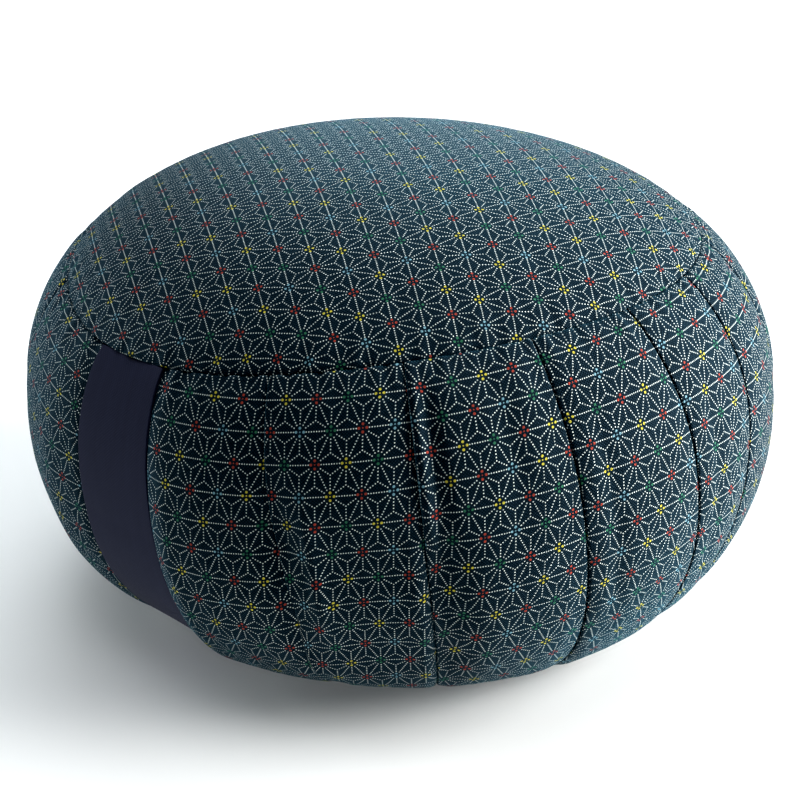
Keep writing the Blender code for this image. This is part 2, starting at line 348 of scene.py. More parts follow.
def top_seam(azimuth):
    """Arc of the top seam: one arc all round, and a bell-shaped pull towards the strap."""
    off = turn_between(azimuth, TOP_SEAM_PULL_AZIMUTH) / TOP_SEAM_PULL_SPREAD
    return TOP_SEAM_ARC + TOP_SEAM_PULL * np.exp(-off ** 2)


def seam_dip(distance):
    """The cloth dips into a seam as a bell curve of the distance from it."""
    return -SEAM_DIP * np.exp(-(distance / SEAM_DIP_WIDTH) ** 2)


def puckers(azimuth, distance):
    """Gathers beside a seam: a sum of sines round the cushion that dies away from the seam."""
    turn = np.radians(azimuth)
    waves = sum(np.sin(count * turn + phase) for count, phase in PUCKER_WAVES)
    return PUCKER_HEIGHT * waves * np.exp(-np.abs(distance) / PUCKER_REACH)


def band_turn(azimuth_at_top):
    """How far each azimuth of the top seam has turned when it reaches the base seam."""
    turns = ALL_PLEATS.azimuth_at_base - ALL_PLEATS.azimuth_at_top
    return np.interp(azimuth_at_top, ALL_PLEATS.azimuth_at_top, turns, period=360)


# ---------------------------------------------------------------- folds


def curve_through(points, count):
    """A smooth Catmull-Rom curve through a section's points, sampled evenly along its length."""
    points = np.array(points, dtype=float)
    padded = np.vstack([2 * points[0] - points[1], points, 2 * points[-1] - points[-2]])
    part = np.linspace(0, 1, SAMPLES_PER_FOLD_POINT, endpoint=False)[None, :, None]
    before, start, end, after = (padded[i:len(padded) - 3 + i, None, :] for i in range(4))
    curve = 0.5 * (2 * start + (end - before) * part
                   + (2 * before - 5 * start + 4 * end - after) * part ** 2
                   + (3 * start - before - 3 * end + after) * part ** 3)
    curve = np.vstack([curve.reshape(-1, points.shape[1]), points[-1]])
    length = np.concatenate([[0], np.cumsum(np.hypot(*np.diff(curve[:, :2], axis=0).T))])
    at = np.linspace(0, length[-1], count)
    samples = np.stack([np.interp(at, length, column) for column in curve.T], axis=-1)
    return samples, at


def fold_columns():
    """Columns across one full pleat: offset, relief and the cloth's own distance, in metres.

    The cloth before the fold is measured from its start, and the cloth after it back from its end,
    so that the print runs on into the fold from both sides.
    """
    samples, at = curve_through(FOLD_SECTION, FOLD_COLUMNS)
    across, relief = samples.T * MM
    before = np.arange(FOLD_COLUMNS) <= np.argmax(np.diff(across) < 0)
    cloth = np.where(before, across[0] + at * MM, across[-1] - (at[-1] - at) * MM)
    return across, relief, cloth, before


def band_columns(strap_width):
    """All columns of the side band, in order round it, as one array for each value.

    azimuth: at the top seam, of the column's fold line or of the column itself. across, relief:
    offset from there in metres. cloth: the same offset along the cloth. spread: the offset once
    the fold is open. panel: the pleat whose print it has. pleat: the one it lies in or after.
    """
    across, relief, cloth, before = fold_columns()
    spread = np.linspace(across[0], across[-1], FOLD_COLUMNS)
    parts = []
    for index, pleat in enumerate(PLEATS):
        zeros = np.zeros(FOLD_COLUMNS)
        panel = np.where(before, index - 1, index)
        parts.append(np.stack([zeros + pleat.azimuth_at_top, across, relief, cloth, spread, panel,
                               zeros + index]))
        after = PLEATS[(index + 1) % len(PLEATS)].azimuth_at_top
        start = pleat.azimuth_at_top + math.degrees(across[-1] / WIDEST_RADIUS)
        end = pleat.azimuth_at_top + (after - pleat.azimuth_at_top) % 360
        end += math.degrees(across[0] / WIDEST_RADIUS)
        count = math.ceil(math.radians(end - start) * WIDEST_RADIUS / COLUMN_STEP)
        plain = np.linspace(start, end, count + 1)[1:-1]
        if start < STRAP_AZIMUTH < end:
            for side, shoulder in ((-1, LEFT_SHOULDER), (1, RIGHT_SHOULDER)):
                beside = strap_width / 2 + shoulder.margin + shoulder.width * np.array(SHOULDER_PARTS)
                plain = np.append(plain, STRAP_AZIMUTH + side * np.degrees(beside / WIDEST_RADIUS))
            plain = np.sort(plain)
        zeros = np.zeros(len(plain))
        parts.append(np.stack([plain, zeros, zeros, zeros, zeros, zeros + index, zeros + index]))
    columns = np.concatenate(parts, axis=1)
    names = ("azimuth", "across", "relief", "cloth", "spread", "panel", "pleat")
    return dict(zip(names, columns))


def even_swell(azimuth, share):
    """Swell without a simulation: a squared-off sine from pleat to pleat, and one from seam to seam."""
    starts = ALL_PLEATS.azimuth_at_top
    order = (azimuth - starts[0]) % 360
    marks = np.append((starts - starts[0]) % 360, 360)
    panel = np.clip(np.searchsorted(marks, order, side="right") - 1, 0, len(starts) - 1)
    within = (order - marks[panel]) / (marks[panel + 1] - marks[panel])
    return PANEL_SWELL * np.sin(np.pi * within) ** SWELL_SQUARENESS * seam_ease(share)


def seam_ease(share):
    """Root of a sine from seam to seam: least at both seams and 1 half way."""
    return np.sin(np.pi * np.clip(share, SEAM_SHARE, 1 - SEAM_SHARE)) ** 0.5


def spline_weights(part):
    """Weights of four neighbours on a uniform cubic B-spline, at a part of the way to the third."""
    return np.stack([(1 - part) ** 3, 3 * part ** 3 - 6 * part ** 2 + 4,
                     -3 * part ** 3 + 3 * part ** 2 + 3 * part + 1, part ** 3]) / 6


def look_up(grid, azimuth, share):
    """Smooth value of a grid: its rows are even shares from 0 to 1, and its columns go once round."""
    rows, columns = grid.shape
    row, column = np.broadcast_arrays(np.clip(share, 0, 1) * (rows - 1),
                                      (np.asarray(azimuth) + 180) % 360 / 360 * columns)
    across, down = spline_weights(column % 1), spline_weights(row % 1)
    total = 0
    for i in range(4):
        for j in range(4):
            line = np.clip(row.astype(int) + i - 1, 0, rows - 1)
            total = total + down[i] * across[j] * grid[line, (column.astype(int) + j - 1) % columns]
    return total


def strap_face(share, turn):
    """Relief of the strap's outer face, which lies flat across: R / cos(turn) - R, less its depth.

    The depth grows evenly from the top seam to the share of the band where the strap is fully sunk.
    """
    sunk = np.minimum(1, share / STRAP_SINK_SHARE)
    depth = STRAP_TOP_DEPTH + (STRAP_LOW_DEPTH - STRAP_TOP_DEPTH) * sunk
    flat_turn = np.radians(np.clip(turn, -STRAP_FLAT_TURN, STRAP_FLAT_TURN))
    return WIDEST_RADIUS * (1 / np.cos(flat_turn) - 1) - depth


def creases(azimuth, share):
    """Sum of the soft creases: bell-shaped across, and fading in and out down the band."""
    total = 0
    for crease in CREASES:
        across = np.radians(turn_between(azimuth, crease.azimuth)) * WIDEST_RADIUS
        bell = np.exp(-(across / (crease.width_mm * MM)) ** 2)
        first, last = crease.first_share, crease.last_share
        inside = CREASE_FADE_INSIDE * (last - first)
        fade_in = smooth_step(share, first - CREASE_FADE_BEYOND, first + inside)
        fade_out = 1 - smooth_step(share, last - inside, last + CREASE_FADE_BEYOND)
        total = total + crease.height_mm * MM * bell * fade_in * fade_out
    return total


def strap_valley(azimuth, share, strap_width):
    """Share of the strap's valley at each azimuth, and the relief of the valley's floor.

    1 under the strap. Beyond it 1 less a quarter of a superellipse, (1 - (1 - t)^p)^(1/p): upright
    beside the strap and level at the shoulder's end, so that the cloth bulges over the strap's edge.
    """
    turn = turn_between(azimuth, STRAP_AZIMUTH)
    margin, width, power = (np.where(turn > 0, right, left)
                            for right, left in zip(RIGHT_SHOULDER, LEFT_SHOULDER))
    across = np.abs(np.radians(turn)) * WIDEST_RADIUS - strap_width / 2 - margin
    beyond = np.clip(across / width, 0, 1)
    valley = 1 - (1 - (1 - beyond) ** power) ** (1 / power)
    return valley, strap_face(share, turn) - STRAP_ROOM - GAP


def band_relief(columns, azimuth, share, strap_width):
    """Relief of the side band: swell, folds, creases and the strap's valley."""
    ease = seam_ease(share)
    fold_ease = FOLD_DEPTH_AT_SEAMS + (1 - FOLD_DEPTH_AT_SEAMS) * ease
    swell = look_up(SWELL["band"], azimuth, share) if SWELL else even_swell(azimuth, share)
    relief = swell - PANEL_SWELL * FOLD_LINE_LEVEL * ease + creases(azimuth, share)
    depth = ALL_PLEATS.depth_mm[columns["pleat"].astype(int)] / FULL_DEPTH_MM
    relief = relief + columns["relief"] * depth * fold_ease * fold_opening(columns, share)
    valley, floor = strap_valley(azimuth, share, strap_width)
    return relief + (floor - relief) * valley


def fold_opening(columns, share):
    """1 where a pleat is folded, and down to 0 where a short tuck has run out into the cloth."""
    runs = ALL_PLEATS.run[columns["pleat"].astype(int)]
    return np.where(runs >= 1, 1.0, 1 - smooth_step(share, runs * TUCK_OPENS_FROM, runs))


def band_place(columns, share, strap_width):
    """Points and print coordinates of the side band at a share of the way down."""
    opening = fold_opening(columns, share)
    across = columns["spread"] + (columns["across"] - columns["spread"]) * opening
    cloth = columns["spread"] + (columns["cloth"] - columns["spread"]) * opening
    at_top = columns["azimuth"] + np.degrees(across / WIDEST_RADIUS)
    start = top_seam(at_top) + GAP / 2
    end = BASE_SEAM_ARC - GAP / 2
    arc = start + (end - start) * share
    azimuth = at_top + band_turn(at_top) * share
    relief = band_relief(columns, at_top, share, strap_width)
    relief = relief + seam_dip(arc - start) + seam_dip(end - arc)
    relief = relief + puckers(at_top, arc - start) + puckers(at_top + BASE_PUCKER_TURN, end - arc)
    return place(azimuth, arc, relief), band_chart(columns, azimuth, arc, arc - start, cloth - across)


def band_chart(columns, azimuth, arc, below_seam, cloth_offset):
    """Print coordinates on the band, in metres: along the rows, and down from the first whole row.

    Along = chart_mm + (azimuth - upright_at) times the radius there. Down = distance from the seam.
    """
    panel = columns["panel"].astype(int)
    past_strap = (panel == 0) & (turn_between(azimuth, STRAP_AZIMUTH) > 0)
    upright = np.where(past_strap, AFTER_STRAP.upright_at, ALL_PLEATS.upright_at[panel])
    chart = np.where(past_strap, AFTER_STRAP.chart_mm, ALL_PLEATS.chart_mm[panel]) * MM
    along = chart + np.radians(turn_between(azimuth, upright)) * radius_at(azimuth, arc) + cloth_offset
    drop = ROW_DROP_LEAST + ROW_DROP_FRONT * np.exp(-(turn_between(azimuth, 0) / ROW_DROP_SPREAD) ** 2)
    sizes = bpy.context.scene.zafu_sizes
    return np.stack([along, below_seam - drop - sizes.row_spacing], axis=-1)


def disc_chart(azimuth, arc, turn, middle):
    """Print coordinates on a round panel: the flat disc of azimuth and arc, turned and moved."""
    right = arc * np.sin(np.radians(azimuth))
    away = -arc * np.cos(np.radians(azimuth))
    cosine, sine = math.cos(math.radians(turn)), math.sin(math.radians(turn))
    return np.stack([away * cosine - right * sine + middle[0],
                     right * cosine + away * sine + middle[1]], axis=-1)


# ---------------------------------------------------------------- meshes


def add_mesh(name, points, faces, chart, material):
    """A smooth mesh object at the origin with a UV map named cloth, closed and facing outwards."""
    mesh = bpy.data.meshes.new(name)
    mesh.from_pydata(points.tolist(), [], faces)
    corners = np.empty(len(mesh.loops), dtype=np.int32)
    mesh.loops.foreach_get("vertex_index", corners)
    layer = mesh.uv_layers.new(name="cloth")
    layer.uv.foreach_set("vector", chart[corners].astype(np.float32).ravel())
    if material:
        mesh.materials.append(material)
    mesh.shade_smooth()
    mesh.validate()
    piece = bpy.data.objects.new(name, mesh)
    bpy.context.collection.objects.link(piece)
    return piece


def ring_solid(name, first, rings, last, material):
    """A closed solid from rings of (points, chart), from the first pole to the last pole."""
    points, chart = (np.vstack([start, *parts, end]) for start, parts, end in zip(first, zip(*rings), last))
    rows, count = len(rings), len(rings[0][0])
    index = 1 + np.arange(rows * count).reshape(rows, count)
    after = np.roll(index, -1, axis=1)
    quads = np.stack([index[:-1], index[1:], after[1:], after[:-1]], axis=-1).reshape(-1, 4)
    top = np.stack([np.full(count, 0), index[0], after[0]], axis=-1)
    bottom = np.stack([index[-1], np.full(count, rows * count + 1), after[-1]], axis=-1)
    faces = top.tolist() + quads.tolist() + bottom.tolist()
    return add_mesh(name, points, faces, chart, material)


def crown_ring(azimuth, share, offset, edge_gap):
    """One ring of the round top panel's surface, at a share of the way out to its seam."""
    edge = top_seam(azimuth) + edge_gap
    arc = edge * share
    relief = offset + seam_dip(edge - arc) + puckers(azimuth + CROWN_PUCKER_TURN, edge - arc)
    if SWELL:
        relief = relief + look_up(SWELL["crown"], azimuth, share)
    return place(azimuth, arc, relief), disc_chart(azimuth, arc, CROWN_CHART_TURN, CROWN_CHART_MIDDLE)


def base_ring(azimuth, arc, offset, edge_gap):
    """One ring of the round base panel's surface, at an arc."""
    edge = BASE_SEAM_ARC + edge_gap
    rest = WHOLE_ARC - REST_RADIUS
    fade = 1 - smooth_step(arc, edge, rest)
    relief = offset + seam_dip(arc - edge) + puckers(azimuth + BASE_PUCKER_TURN, arc - edge) * fade
    relief = np.where(arc >= rest, offset, relief)
    chart = disc_chart(azimuth, WHOLE_ARC - arc, BASE_CHART_TURN, BASE_CHART_MIDDLE)
    return place(azimuth, arc, relief), chart


def base_arcs(edge_gap, rows):
    """Arcs of the base panel's rings: from its seam to the rest, and some way in on the flat."""
    rest = WHOLE_ARC - REST_RADIUS
    slope = np.linspace(BASE_SEAM_ARC + edge_gap, rest, rows)
    return np.append(slope, rest + REST_RADIUS * np.array(BASE_FLAT_PARTS))


def pole(chart, height):
    """A point on the axis and its print coordinates."""
    return np.array([0.0, 0.0, height]), np.array(chart)


# ---------------------------------------------------------------- filling


SWELL = {}


def coarse_cover(strap_width):
    """A coarse grid of the cover before the filling swells it: points, normals and what is held.

    Stitches, pleats, the strap and the floor hold the cloth.
    """
    azimuth = np.linspace(-180, 180, SWELL_COLUMNS, endpoint=False)
    reach = np.where(ALL_PLEATS.run < 1, HELD_TUCK_PART, 1) * ALL_PLEATS.run
    away = np.abs(np.radians(turn_between(azimuth[:, None], ALL_PLEATS.azimuth_at_top))) * WIDEST_RADIUS
    seam = top_seam(azimuth)
    places, held = [], []
    for share in np.linspace(0, 1, SWELL_CROWN_ROWS + 1)[1:]:
        places.append((azimuth, seam * share, seam_dip(seam * (1 - share))))
        held.append(np.full(SWELL_COLUMNS, share == 1))
    for share in np.linspace(0, 1, SWELL_BAND_ROWS + 1)[1:]:
        arc = seam + (BASE_SEAM_ARC - seam) * share
        valley, floor = strap_valley(azimuth, share, strap_width)
        relief = floor * valley + seam_dip(arc - seam) + seam_dip(BASE_SEAM_ARC - arc)
        places.append((azimuth + band_turn(azimuth) * share, arc, relief))
        pleated = ((away < HELD_REACH) & (share <= reach)).any(axis=1)
        held.append(pleated | (valley > HELD_VALLEY) | (share == 1))
    for arc in base_arcs(SWELL_BASE_START, SWELL_BASE_ROWS):
        places.append((azimuth + band_turn(azimuth), arc, 0))
        held.append(np.full(SWELL_COLUMNS, arc > BASE_SEAM_ARC + HELD_PAST_BASE_SEAM))
    points = np.stack([place(*at) for at in places])
    normals = np.stack([place(*at[:2], 1) - place(*at[:2], 0) for at in places])
    return points, normals, np.stack(held)


def swollen_distance(strap_width):
    """How far pressure inside pushes each point of the coarse cover out, in metres.

    The cloth is grown a little, so that it bulges between what holds it, and gravity is off.
    """
    points, normals, held = coarse_cover(strap_width)
    chart = np.zeros((*points.shape[:2], 2))
    rings = list(zip(points, chart))
    cover = ring_solid("coarse_cover", pole((0, 0), CROWN_TOP), rings, pole((0, 0), 0), None)
    group = cover.vertex_groups.new(name="held")
    flags = np.concatenate([[False], held.ravel(), [True]])
    group.add(np.flatnonzero(flags).tolist(), 1.0, "REPLACE")
    cloth = cover.modifiers.new("filling", "CLOTH")
    cloth.settings.vertex_group_mass = "held"
    cloth.settings.mass = CLOTH_MASS
    cloth.settings.use_pressure = True
    cloth.settings.uniform_pressure_force = SWELL_PRESSURE
    cloth.settings.shrink_min = -CLOTH_GROWTH
    cloth.settings.effector_weights.gravity = 0
    cloth.collision_settings.use_collision = False
    cloth.point_cache.frame_start = 1
    cloth.point_cache.frame_end = SWELL_FRAMES
    for number in range(1, SWELL_FRAMES + 1):
        bpy.context.scene.frame_set(number)
    result = cover.evaluated_get(bpy.context.evaluated_depsgraph_get()).to_mesh()
    moved = np.empty(len(result.vertices) * 3)
    result.vertices.foreach_get("co", moved)
    moved = moved.reshape(-1, 3)[1:-1].reshape(points.shape)
    bpy.context.scene.frame_set(1)
    mesh = cover.data
    bpy.data.objects.remove(cover)
    bpy.data.meshes.remove(mesh)
    return ((moved - points) * normals).sum(axis=-1)


# ---------------------------------------------------------------- materials


def add_node(tree, kind, inputs=None, **settings):
    """Add one node with its settings, and return its first output in use.

    inputs go by their names or numbers: an output is linked there, and a plain value is set.
    """
    node = tree.nodes.new("ShaderNode" + kind)
    for name, value in settings.items():
        setattr(node, name, value)
    for key, value in (inputs or {}).items():
        if isinstance(value, bpy.types.NodeSocket):
            tree.links.new(value, node.inputs[key])
        else:
            node.inputs[key].default_value = value
    return next(output for output in node.outputs if output.enabled)


def new_material(name, finish):
    """A node material, with what is the same all over the surface set on its shader's sockets."""
    material = bpy.data.materials.new(name)
    material.use_nodes = True
    shader = material.node_tree.nodes["Principled BSDF"]
    for socket, value in finish.items():
        shader.inputs[socket].default_value = value
    return material, material.node_tree, shader


def cloth_millimetres(tree):
    """Millimetres along and across the cloth's print, from its own UV map in metres."""
    cloth = add_node(tree, "UVMap", uv_map="cloth")
    return add_node(tree, "VectorMath", {0: cloth, "Scale": 1 / MM}, operation="SCALE")


# Lines of dots inside one triangle of the hemp-leaf lattice, as shares of the star spacing across
# and of the row spacing up. Dots sit on every line from the share first, count of them, step apart.
# Petals and hearts go by shares of the star spacing too, and the blur of an edge is in millimetres.
DotLine = namedtuple("DotLine", "from_x from_y to_x to_y first step count")
DOT_LINES = [DotLine(*row) for row in (
    (0.0, 0.0, 1.0, 0.0, 2.5 / 12, 1 / 12, 8),
    (0.0, 0.0, 0.5, 1.0, 2.5 / 12, 1 / 12, 8),
    (0.0, 0.0, 0.5, 1 / 3, 0.38, 0.155, 5),
    (0.5, 1.0, 0.5, 1 / 3, 0.38, 0.155, 5),
)]
PETAL_REACH = 0.125
PETAL_RADIUS = 0.047
HEART_RADIUS = 0.026
EDGE_BLUR = 0.07
SPECKLES_PER_MM = 1.5
PATCHES_PER_MM = 0.03
STRAP_THREAD_PITCH_MM = 0.7
PRESS_MARKS_PER_MM = (0.35, 0.02, 1)
# Colours of the flowers: four rows of three, then the chart repeats.
FLOWER_CHART = (
    ("red", "blue", "green"),
    ("green", "red", "yellow"),
    ("red", "blue", "yellow"),
    ("yellow", "red", "green"),
)


def print_masks(tree, cloth_mm, sizes):
    """Masks of the dots and of the flowers, from the cloth's own millimetres.

    The lattice is folded onto one triangle: across and up by a ping-pong of half a star and one
    row, and what lies over the diagonal is turned half round. There every dot is the nearest whole
    step along its line, and a mask is 1 inside its radius.
    """
    star, row = sizes.star_spacing / MM, sizes.row_spacing / MM
    parts = add_node(tree, "SeparateXYZ", {0: cloth_mm}).node.outputs
    across = add_node(tree, "Math", {0: parts[0], 1: star / 2}, operation="PINGPONG")
    up = add_node(tree, "Math", {0: parts[1], 1: row}, operation="PINGPONG")
    folded = add_node(tree, "CombineXYZ", {0: across, 1: up})
    turned = add_node(tree, "VectorMath", {0: (star / 2, row, 0), 1: folded}, operation="SUBTRACT")
    diagonal = add_node(tree, "Math", {0: across, 1: 2 * row / star}, operation="MULTIPLY")
    over = add_node(tree, "Math", {0: up, 1: diagonal}, operation="GREATER_THAN")
    place_in = add_node(tree, "Mix", {0: over, 4: folded, 5: turned}, data_type="VECTOR")
    nearest = star
    for line in DOT_LINES:
        start = Vector((line.from_x * star, line.from_y * row, 0))
        way = Vector((line.to_x * star, line.to_y * row, 0)) - start
        step = line.step * way.length
        first = line.first * way.length
        way.normalize()
        along = add_node(tree, "VectorMath", {0: place_in, 1: way}, operation="DOT_PRODUCT")
        steps = add_node(tree, "Math", {0: along, 1: 1 / step, 2: -(start.dot(way) + first) / step},
                         operation="MULTIPLY_ADD")
        whole = add_node(tree, "Math", {0: steps}, operation="ROUND")
        held = add_node(tree, "Clamp", {"Value": whole, "Min": 0.0, "Max": line.count - 1.0})
        centre = add_node(tree, "VectorMath", {0: held, 1: way * step, 2: start + way * first},
                          operation="MULTIPLY_ADD")
        gap = add_node(tree, "VectorMath", {0: place_in, 1: centre}, operation="DISTANCE")
        nearest = add_node(tree, "Math", {0: nearest, 1: gap}, operation="MINIMUM")
    radius = sizes.dot_width / 2 / MM
    dots = add_node(tree, "MapRange", {"Value": nearest, "From Min": radius + EDGE_BLUR,
                                       "From Max": radius - EDGE_BLUR}, interpolation_type="SMOOTHSTEP")
    flowers = 0.0
    for x, y, share in ((PETAL_REACH * star, 0, PETAL_RADIUS),
                        (star / 2, row - PETAL_REACH * star, PETAL_RADIUS),
                        (0, 0, HEART_RADIUS), (star / 2, row, HEART_RADIUS)):
        gap = add_node(tree, "VectorMath", {0: place_in, 1: (x, y, 0)}, operation="DISTANCE")
        mark = add_node(tree, "MapRange", {"Value": gap, "From Min": share * star + EDGE_BLUR,
                                           "From Max": share * star - EDGE_BLUR},
                        interpolation_type="SMOOTHSTEP")
        flowers = add_node(tree, "Math", {0: flowers, 1: mark}, operation="MAXIMUM")
    return dots, flowers


def flower_colour(tree, cloth_mm, sizes, colours):
    """Colour of the nearest star: its row and place in the row pick one of the chart's flowers."""
    parts = add_node(tree, "SeparateXYZ", {0: cloth_mm}).node.outputs
    rows = add_node(tree, "Math", {0: parts[1], 1: sizes.row_spacing / MM}, operation="DIVIDE")
    rows = add_node(tree, "Math", {0: rows}, operation="ROUND")
    odd = add_node(tree, "Math", {0: rows, 1: 2}, operation="FLOORED_MODULO")
    stars = add_node(tree, "Math", {0: parts[0], 1: sizes.star_spacing / MM}, operation="DIVIDE")
    stars = add_node(tree, "Math", {0: odd, 1: -0.5, 2: stars}, operation="MULTIPLY_ADD")
    stars = add_node(tree, "Math", {0: stars}, operation="ROUND")
    lines, width = len(FLOWER_CHART), len(FLOWER_CHART[0])
    column = add_node(tree, "Math", {0: stars, 1: width}, operation="FLOORED_MODULO")
    line = add_node(tree, "Math", {0: rows, 1: lines}, operation="FLOORED_MODULO")
    number = add_node(tree, "Math", {0: line, 1: width, 2: column}, operation="MULTIPLY_ADD")
    count = lines * width
    share = add_node(tree, "Math", {0: number, 1: 1 / count, 2: 0.5 / count}, operation="MULTIPLY_ADD")
    picked = add_node(tree, "ValToRGB", {0: share})
    picked.node.color_ramp.interpolation = "CONSTANT"
    stops = picked.node.color_ramp.elements
    stops[1].position = 1 / count
    for index in range(2, count):
        stops.new(index / count)
    for stop, name in zip(stops, [name for names in FLOWER_CHART for name in names]):
        stop.color = (*getattr(colours, name), 1)
    return picked


def weave_height(tree, cloth_mm, pitch_mm):
    """Plain weave: sin(pi x / pitch) times sin(pi y / pitch) stands for threads over and under."""
    angles = add_node(tree, "VectorMath", {0: cloth_mm, "Scale": math.pi / pitch_mm}, operation="SCALE")
    parts = add_node(tree, "SeparateXYZ", {0: add_node(tree, "VectorMath", {0: angles}, operation="SINE")})
    along, across = parts.node.outputs[:2]
    return add_node(tree, "Math", {0: along, 1: across}, operation="MULTIPLY")


def printed_cotton():
    """Printed plain-weave cotton: dyed dark, dots and flowers in opaque ink, a soft brushed bloom.

    The eye gets a matt deep blue-green ground, mottled at random, with painted light and shading of the
    weave, lighter on the thread crowns and darker between them, crisp small dots, and a pale bloom of fibre
    ends where the cloth turns away.
    are finer: they are drawn as coarse as they need to be to show.
    """
    sizes, colours = bpy.context.scene.zafu_sizes, bpy.context.scene.zafu_colours
    material, tree, shader = new_material("printed_plain_weave_cotton", {
        "Roughness": 0.72, "Specular IOR Level": 0.22, "Specular Tint": (*linear("#8acde6"), 1),
        "Sheen Weight": 0.325, "Sheen Roughness": 0.43, "Sheen Tint": (*linear("#76bfd9"), 1)})
    cloth_mm = cloth_millimetres(tree)
    dots, flowers = print_masks(tree, cloth_mm, sizes)
    weave = weave_height(tree, cloth_mm, sizes.thread_pitch / MM)
    speckle = add_node(tree, "TexNoise", {"Vector": cloth_mm, "Scale": SPECKLES_PER_MM, "Detail": 3.0,
                                          "Roughness": 0.75})
    patches = add_node(tree, "TexNoise", {"Vector": cloth_mm, "Scale": PATCHES_PER_MM, "Detail": 2.0})
    mottle = add_node(tree, "MapRange", {"Value": speckle, "From Min": 0.3, "From Max": 0.7,
                                         "To Min": 0.3, "To Max": 2.0})
    fading = add_node(tree, "MapRange", {"Value": patches, "From Min": 0.3, "From Max": 0.7,
                                         "To Min": 0.92, "To Max": 1.08})
    # The weave lightens the ground on the thread crowns and darkens it between them. This is painted light
    # and shading of the threads, multiplied with the random mottle and fading.
    threads = add_node(tree, "Math", {0: weave, 1: 0.9, 2: 1.0}, operation="MULTIPLY_ADD")
    mottle_and_thread_shade = add_node(tree, "Math", {0: mottle, 1: fading}, operation="MULTIPLY")
    mottle_and_thread_shade = add_node(tree, "Math", {0: mottle_and_thread_shade, 1: threads}, operation="MULTIPLY")
    ground = add_node(tree, "VectorMath", {0: colours.ground, "Scale": mottle_and_thread_shade}, operation="SCALE")
    ink_wear = add_node(tree, "MapRange", {"Value": speckle, "From Min": 0.25, "From Max": 0.45,
                                           "To Min": 0.75, "To Max": 1.0})
    dot_share = add_node(tree, "Math", {0: dots, 1: ink_wear}, operation="MULTIPLY")
    flower_share = add_node(tree, "Math", {0: flowers, 1: ink_wear}, operation="MULTIPLY")
    petals = flower_colour(tree, cloth_mm, sizes, colours)
    inked = add_node(tree, "Mix", {0: dot_share, 6: ground, 7: (*colours.dots, 1)}, data_type="RGBA")
    inked = add_node(tree, "Mix", {0: flower_share, 6: inked, 7: petals}, data_type="RGBA")
    tree.links.new(inked, shader.inputs["Base Color"])
    slub = add_node(tree, "Math", {0: speckle, 1: 0.8, 2: weave}, operation="MULTIPLY_ADD")
    bump = add_node(tree, "Bump", {"Height": slub, "Strength": 0.6, "Distance": 0.16 * MM})
    tree.links.new(bump, shader.inputs["Normal"])
    return material


def plain_cotton():
    """Plain dyed cotton webbing, pressed flat: a matt, even, very dark navy with a close weave.

    The eye gets an almost flat dark strip with faint lengthwise press marks.
    """
    material, tree, shader = new_material("plain_dyed_cotton_webbing", {
        "Roughness": 0.92, "Specular IOR Level": 0.2, "Sheen Weight": 0.12, "Sheen Roughness": 0.5})
    cloth_mm = cloth_millimetres(tree)
    weave = weave_height(tree, cloth_mm, STRAP_THREAD_PITCH_MM)
    stretched = add_node(tree, "VectorMath", {0: cloth_mm, 1: PRESS_MARKS_PER_MM}, operation="MULTIPLY")
    marks = add_node(tree, "TexNoise", {"Vector": stretched, "Scale": 1.0, "Detail": 3.0})
    tone = add_node(tree, "MapRange", {"Value": marks, "From Min": 0.3, "From Max": 0.7,
                                       "To Min": 0.95, "To Max": 1.05})
    dyed = add_node(tree, "VectorMath", {0: bpy.context.scene.zafu_colours.strap, "Scale": tone},
                    operation="SCALE")
    tree.links.new(dyed, shader.inputs["Base Color"])
    height = add_node(tree, "Math", {0: marks, 1: 0.5, 2: weave}, operation="MULTIPLY_ADD")
    bump = add_node(tree, "Bump", {"Height": height, "Strength": 0.3, "Distance": 0.12 * MM})
    tree.links.new(bump, shader.inputs["Normal"])
    return material


def floor_paper():
    """Matt white studio paper, very slightly uneven and glowing faintly.

    The eye gets a pale floor with a soft shadow, which fades out into the background. Its glow is painted
    light: it lifts the floor's shadow and lights the cushion's lower side a little.
    """
    material, tree, shader = new_material("matt_studio_paper_painted_glow", {
        # A painted glow: the paper emits light though it is no lamp.
        "Roughness": 0.9, "Specular IOR Level": 0.1, "Emission Strength": FLOOR_GLOW,
        "Emission Color": (*linear(FLOOR_GLOW_COLOUR), 1)})
    place_at = add_node(tree, "TexCoord").node.outputs["Object"]
    cloud = add_node(tree, "TexNoise", {"Vector": place_at, "Scale": 1.5, "Detail": 2.0})
    tone = add_node(tree, "MapRange", {"Value": cloud, "To Min": 0.97, "To Max": 1.0})
    pale = add_node(tree, "VectorMath", {0: bpy.context.scene.zafu_colours.floor, "Scale": tone},
                    operation="SCALE")
    tree.links.new(pale, shader.inputs["Base Color"])
    away = add_node(tree, "VectorMath", {0: place_at}, operation="LENGTH")
    fade = add_node(tree, "MapRange", {"Value": away, "From Min": FLOOR_FADE[0], "To Min": 1.0,
                                       "From Max": FLOOR_FADE[1], "To Max": 0.0},
                    interpolation_type="SMOOTHSTEP")
    tree.links.new(fade, shader.inputs["Alpha"])
    return material


def material_of(name, maker):
    """The material of that name, made once and shared."""
    return bpy.data.materials.get(name) or maker()


# ---------------------------------------------------------------- operators


